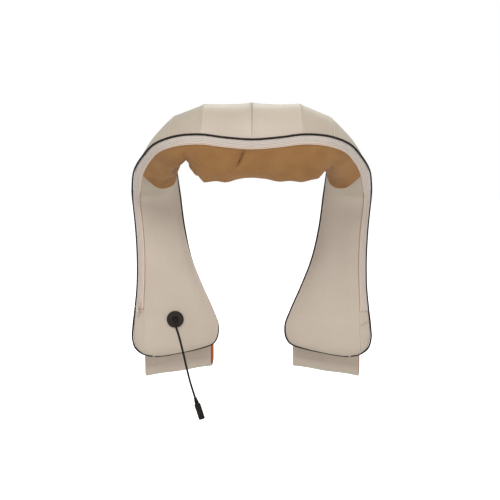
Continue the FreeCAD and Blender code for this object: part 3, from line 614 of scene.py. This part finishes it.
def gusset(side):
    """Leather that carries the band's line on, below the end of the zip."""
    def profile(f):
        return 0.1 + 0.7 * (1 - (2 * f - 1) ** 4)
    return edge_strip(side + "_gusset_leather", side, np.linspace(at(BAND_END - 0.06), at(17), 120),
                      np.linspace(0, 1, 17), profile, "leather", GUSSET_T)


def band_end(side):
    """The sewn end of the zip band: a short bar on the left arm, near-black as painted shade of the fold there,
    and a thin curved seam on the right.
    """
    if side == "left":
        # Painted shade: the left bar takes the near-black piping colour to stand for the shade in the fold at the
        # band's end.
        place, radius, slant, shade = at(BAND_END - 0.1), 0.55, 0.0, "piping"
    else:
        place, radius, slant, shade = at(BAND_END + 0.75), 0.35, 9.0, "thread"
    share = np.linspace(0.0, 1.0, 24)
    t = place + slant * (share ** 1.6 - 0.5)
    edge, _, across, up, _, _, band_down, band_in = stations_at(t)
    low = edge - up * band_down[:, None] + across * band_in[:, None]
    path = edge * (1 - share[:, None]) + low * share[:, None]
    out = -(up + across) / math.sqrt(2)
    path = path + out * (1.6 * (1 - (2 * share[:, None] - 1) ** 4) + 0.3)
    if side == "left":
        path = path * np.array([-1, 1, 1])
    return tube_object(side + "_band_end", path, radius, shade, 8)


def piping_path(side):
    """Down the outer edge, round the bottom and up the inner edge to the yoke's centre."""
    t = np.linspace(0, at(len(STATIONS) - 1), 420)
    edge, neck, across, up, *_ = stations_at(t)
    lift = np.interp(t, [0, at(8), at(12), at(14)], [1.2, 1.5, 1.5, 0.1])[:, None]
    proud = np.interp(t, [at(12), at(14)], [0.0, 0.5])[:, None]
    shown = proud
    if side == "left":
        shown = np.interp(t, [at(9), at(10), at(17)], [0.0, -0.9, 0.0])[:, None]
    outer = edge - across * (1.3 + proud) + up * lift
    inner = neck + across * (1.5 + shown) + up * lift
    path = np.concatenate([outer, inner[::-1]])
    keep = [0]
    for i in range(1, len(path)):
        if np.linalg.norm(path[i] - path[keep[-1]]) > 1.5:
            keep.append(i)
    keep[-1] = len(path) - 1
    return path[keep]


def piping(side):
    path = piping_path(side)
    if side == "left":
        path = path * np.array([-1, 1, 1])
    obj = tube_object(side + "_piping", path, PIPING_R, "piping", 10)
    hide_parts(side + "_arm_piping")
    return obj


# ---------------------------------------------------------------- mesh cover
HEADS = [j["pos_m"] for j in frame["joints"] if j["name"] in ("left_head_spin", "right_head_spin")]
ORBIT = 24.0
NODE_R = 14.5
NODE_Z = -41.0
LEFT_NOTCH = (-98, 25.0, 0.50)      # place, half-width and share of the depth drawn up
RIGHT_NOTCH = (118, 16.0, 0.16)
CREASE_WIDTH = 0.11        # share of the mesh's width that the crease runs over
HEM_ROWS = 24
YIELD = 5.5                # how far, in mm, the mesh gives way where a node passes under the notch


def node_places():
    places = []
    for x, y, _ in HEADS:
        for a in (45, 135, 225, 315):
            places.append((x / MM + ORBIT * math.cos(math.radians(a)),
                           y / MM + ORBIT * math.sin(math.radians(a))))
    return places


def mesh_cover():
    """The body side of the yoke: spacer mesh that hangs in lobes over the tops of the arms."""
    rows = np.linspace(-1, 1, 421)
    s = fan(1.5, 73)
    places = node_places()
    points = np.zeros((len(rows), len(s), 3))
    for j, sj in enumerate(s):
        f = (sj + 1) / 2
        reach = at(6.15 + 2.1 * f - 1.75 * f * f)
        t = rows * reach
        edge, neck, across, up, _, drop, band_down, band_in = stations_at(np.abs(t))
        start = edge - up * band_down[:, None] + across * band_in[:, None]
        end = neck - up - across * 0.6
        full = 1 - abs(sj) ** BODY_POWER
        for i, ti in enumerate(t):
            mirror = np.array([-1.0 if ti < 0 else 1.0, 1, 1])
            lobe = 0.20 * math.exp(-((abs(ti) - at(5.2)) / 30.0) ** 2)
            p = (start[i] * (1 - f) + end[i] * f - up[i] * drop[i] * (1 + lobe) * full) * mirror
            p = p - (up[i] * mirror) * (mesh_relief(p, places) - notch_depth(p, drop[i])) * full
            p[1] += crease_depth(p[0], f)
            p[2] -= node_push(p)
            points[i, j] = p
    lobe_hem(points, s)
    obj = sheet_object("mesh_lobes", points, "mesh", "right", MESH_T, flip=True)
    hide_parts("mesh_cover", "yoke_zip_tape", "yoke_piping", "back_cover", "yoke_foam")
    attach(obj, "yoke")
    return obj


def notch_depth(p, drop):
    """How far, in mm, the mesh is drawn up where the middle hangs apart from a shoulder."""
    left = max(0.0, 1 - abs(p[0] - LEFT_NOTCH[0]) / LEFT_NOTCH[1])
    right = max(0.0, 1 - abs(p[0] - RIGHT_NOTCH[0]) / RIGHT_NOTCH[1])
    return drop * (LEFT_NOTCH[2] * left ** 1.1 + RIGHT_NOTCH[2] * right)


def mesh_relief(p, places):
    """Extra depth, in mm, over the nodes, with soft unevenness."""
    bump = sum(math.exp(-((p[0] - x) ** 2 + (p[1] - y) ** 2) / (2 * 11.0 ** 2)) for x, y in places)
    soft = noise.noise(Vector(p) * 0.030) * 2.0 + noise.noise(Vector(p) * 0.075) * 0.8
    return 5.5 * bump - 2.0 + soft


def node_push(p):
    """How far down, in mm, the turning nodes hold the mesh."""
    push = 0.0
    for x, y, _ in HEADS:
        off = math.hypot(p[0] - x / MM, p[1] - y / MM) - ORBIT
        if abs(off) < NODE_R:
            need = NODE_Z - math.sqrt(NODE_R ** 2 - off ** 2) - 2.6
            push = max(push, min(YIELD, p[2] - need))
    return push


def crease_depth(x, share):
    """How far back, in mm, the mesh is pinched near the middle, at a share of its width from the zip."""
    if not 0 < share < CREASE_WIDTH:
        return 0.0
    fade = math.sin(math.pi * (share / CREASE_WIDTH) ** 0.6)
    line = -12.0 - 120.0 * share
    return fade * (9.0 * math.exp(-abs(x - line) / 2.2) + 3.0 * math.exp(-abs(x - line - 7) / 8.0))


def lobe_hem(points, s):
    """Lets the two ends of the mesh sag into a rounded hem that stands off the arms."""
    rows = len(points)
    for end in (0, rows - 1):
        inward = 1 if end == 0 else -1
        for k in range(HEM_ROWS):
            i = end + inward * k
            fall = (1 - k / HEM_ROWS) ** 2
            for j, sj in enumerate(s):
                middle = 1 - sj * sj
                points[i, j] += np.array([0, -4.0 * middle, -5.0 * middle]) * fall


# ---------------------------------------------------------------- hand loops
def strap_path():
    """Inner line of a hand loop in the YZ plane, in mm, as the design has it."""
    near, radius, low = 102.8, 12.5, -385.0
    centre, far = near + radius, near + 2 * radius
    path = [(near, -336), (near, -352), (near, -370), (near, low)]
    for i in range(1, 12):
        a = math.pi + math.pi * i / 12
        path.append((centre + radius * math.cos(a), low + radius * math.sin(a)))
    path += [(far, low), (far, -368), (far, -350), (far, -338), (far - 0.5, -331), (far - 2, -324.5),
             (far - 7, -317.5), (far - 14, -313), (near + 5, -310.3), (near + 2, -308.3),
             (near + 0.6, -305.5), (near, -300)]
    return np.array(path, float)


def resample(path, step):
    gaps = np.linalg.norm(np.diff(path, axis=0), axis=1)
    along = np.concatenate([[0], np.cumsum(gaps)])
    places = np.linspace(0, along[-1], int(along[-1] / step) + 1)
    slope = np.gradient(path, along, axis=0)
    k = np.clip(np.searchsorted(along, places, side="right") - 1, 0, len(along) - 2)
    h = (along[k + 1] - along[k])[:, None]
    x = (places - along[k])[:, None] / h
    return ((2 * x ** 3 - 3 * x ** 2 + 1) * path[k] + (x ** 3 - 2 * x ** 2 + x) * h * slope[k]
            + (-2 * x ** 3 + 3 * x ** 2) * path[k + 1] + (x ** 3 - x ** 2) * h * slope[k + 1])


STRAP_X = 125.5
STRAP_W = 112.0
STRAP_SLOPE = math.tan(math.radians(9.0))
STRAP_SKEW = 0.17


def strap_frame(x, y, z, side):
    """Slopes the loop down to the outer side; it leans a little to +X as it goes back."""
    pz = z - (x - STRAP_X) * STRAP_SLOPE
    lean = STRAP_SKEW * max(y - 104.0, 0.0)
    return (x + lean, y, pz) if side == "right" else (-x + lean, y, pz)


def strap_sheet(name, side, low, high, trim, material):
    """A closed strip between two offsets of the loop's path."""
    path = resample(strap_path(), 2.0)
    tangent = np.gradient(path, axis=0)
    tangent /= np.linalg.norm(tangent, axis=1)[:, None]
    normal = np.stack([tangent[:, 1], -tangent[:, 0]], axis=1)
    width = STRAP_W / 2 - trim
    inset = 0.5
    ring = [(-width + inset, high), (-width, high - inset), (-width, low + inset), (-width + inset, low)]
    steps = np.linspace(-width + 3, width - 3, 19)
    lower = [(x, low) for x in steps] + [(width - inset, low), (width, low + inset), (width, high - inset),
                                         (width - inset, high)]
    upper = [(x, high) for x in steps[::-1]]
    ring = ring + lower + upper
    verts, uvs = [], []
    length = 0.0
    for i, (p, n) in enumerate(zip(path, normal)):
        if i:
            length += np.linalg.norm(p - path[i - 1])
        for x, offset in ring:
            wave = 0.5 * math.sin(x * 0.09 + i * 0.05) * (1 if 4 < i < len(path) - 12 else 0)
            y, z = p + n * (offset + wave)
            verts.append(strap_frame(STRAP_X + x, y, z, side))
            uvs.append((length, x + 60))
    count = len(ring)
    faces = grid_faces(len(path), count, closed=True, flip=side == "right")
    ends = [tuple(range(count)), tuple((len(path) - 1) * count + i for i in reversed(range(count)))]
    faces += ends if side == "left" else [e[::-1] for e in ends]
    return add_object(name, verts, faces, material, uvs)


def strap_stitches(side):
    """Rows of thread along the strap's side hems and across its fold."""
    path = resample(strap_path(), 1.0)
    tangent = np.gradient(path, axis=0)
    tangent /= np.linalg.norm(tangent, axis=1)[:, None]
    normal = np.stack([tangent[:, 1], -tangent[:, 0]], axis=1)
    verts, faces = [], []

    def stitch(a, b):
        rings = tube_points(np.linspace(a, b, 4), np.array([0.12, 0.33, 0.33, 0.12]), 6)
        base = len(verts)
        verts.extend(rings.reshape(-1, 3))
        faces.extend(tuple(base + k for k in f) for f in grid_faces(4, 6, closed=True, flip=True))

    def place(i, x):
        y, z = path[i] + normal[i] * 2.35
        return np.array(strap_frame(STRAP_X + x, y, z, side))

    for x in (-STRAP_W / 2 + 3.5, STRAP_W / 2 - 3.5):
        for i in range(4, len(path) - 8, 4):
            stitch(place(i, x), place(i + 3, x))
    fold = int(np.argmin(np.abs(path[:60, 1] + 380)))
    for k in range(int(STRAP_W / 4) - 2):
        x = -STRAP_W / 2 + 5 + 4 * k
        stitch(place(fold, x), place(fold, x + 2.8))
    return add_object(side + "_strap_stitches", verts, faces, "thread")


def hand_loop(side):
    body = side + "_arm"
    strap = strap_sheet(side + "_strap_leather", side, 0.0, 2.2, 0.0, "leather")
    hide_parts(side + "_hand_strap")
    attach(strap, body)
    lining = strap_sheet(side + "_loop_lining", side, -0.95, -0.05, 1.0, "lining")
    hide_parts(side + "_strap_lining")
    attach(lining, body)
    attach(strap_stitches(side), body)


# ---------------------------------------------------------------- lead, gland and socket
LEAD_D = 3.5
LEAD_ROUTE = [(-127, 45, -301.8), (-126.6, 37, -302.3), (-125.2, 30, -305.8), (-122.6, 26, -313),
              (-119, 24.2, -323.5), (-115.2, 24, -338.5), (-110.6, 24.6, -359), (-105.6, 24.8, -382),
              (-99.8, 24, -405), (-93, 23, -426)]


def lathe(name, profile, origin, direction, material, steps=48):
    """A closed turned shape: profile points are (radius, distance along the direction)."""
    axis = Vector(direction).normalized()
    side = axis.orthogonal().normalized()
    other = axis.cross(side)
    verts = []
    for r, d in profile:
        for k in range(steps):
            a = 2 * math.pi * k / steps
            p = Vector(origin) + axis * d + (side * math.cos(a) + other * math.sin(a)) * r
            verts.append(tuple(p))
    faces = grid_faces(len(profile), steps, closed=True, flip=True)
    faces.append(tuple(range(steps)))
    faces.append(tuple((len(profile) - 1) * steps + i for i in reversed(range(steps))))
    return add_object(name, verts, faces, material)


def make_lead():
    curve = bpy.data.curves.new("power_cord", "CURVE")
    curve.dimensions = "3D"
    spline = curve.splines.new("NURBS")
    spline.points.add(len(LEAD_ROUTE) - 1)
    for point, place in zip(spline.points, LEAD_ROUTE):
        point.co = (*(v * MM for v in place), 1.0)
    spline.order_u = 3
    spline.use_endpoint_u = True
    spline.resolution_u = 16
    curve.bevel_depth = LEAD_D / 2 * MM
    curve.bevel_resolution = 6
    curve.use_fill_caps = True
    cord = bpy.data.objects.new("power_cord", curve)
    bpy.context.collection.objects.link(cord)
    curve.materials.append(MATERIALS["cord_rubber"])
    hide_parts("power_lead")
    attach(cord, "left_arm")
    relief = strain_relief()
    socket_shell()


def strain_relief():
    """Ribbed taper between the gland and the lead."""
    profile = [(0.4, 12.6), (5.2, 12.6)]
    for k in range(6):
        d = 11.5 - 1.9 * k
        r = 3.1 + 2.1 * d / 12
        profile += [(r, d), (r, d - 1.0), (r - 0.55, d - 1.15), (r - 0.6, d - 1.75)]
    profile += [(2.5, 0.2), (1.8, 0.0), (0.4, 0.0)]
    relief = lathe("lead_relief", profile[::-1], LEAD_ROUTE[0], (0, 1, 0), "cord_rubber")
    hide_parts("strain_relief")
    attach(relief, "left_arm")
    return relief


def socket_shell():
    """In-line socket: a ringed tail, a waist and a bored barrel."""
    a, b = Vector(LEAD_ROUTE[-2]), Vector(LEAD_ROUTE[-1])
    profile = [(0.4, 0.0), (2.5, 0.0)]
    for k in range(4):
        d = 0.8 + 2.3 * k
        r = 2.7 + 0.13 * d
        profile += [(r, d), (r, d + 1.3), (r - 0.5, d + 1.5), (r - 0.5, d + 2.1)]
    profile += [(4.3, 10.2), (5.0, 11.2), (5.2, 12.4), (5.2, 20.0), (4.9, 20.4), (4.9, 21.4), (5.2, 21.8),
                (5.2, 36.2), (4.8, 36.9), (3.2, 37.0), (2.9, 36.6), (2.85, 27.0), (0.4, 27.0)]
    shell = lathe("lead_socket", profile, b, b - a, "cord_rubber")
    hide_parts("dc_socket")
    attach(shell, "left_arm")
    return shell


def gland_detail():
    """A thin moulded ring near the rim of the gland's face."""
    ring = lathe("gland_ring", [(11.2, -0.2), (11.3, 0.35), (12.0, 0.45), (12.4, 0.2), (12.4, -0.2)],
                 (-127.0, 57.0, -301.8), (0, -1, 0), "dark_plastic", 64)
    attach(ring, "left_arm")


# ---------------------------------------------------------------- assembly
finish_cad_nodes()
make_lead()
gland_detail()
mesh_cover()
for side in ("left", "right"):
    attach(band_end(side), side + "_arm")
    for piece in (outer_leather(side), face_leather(side), zip_band(side), gusset(side), piping(side)):
        apply_modifiers(piece)
        bend_at_shoulder(piece)
    hand_loop(side)
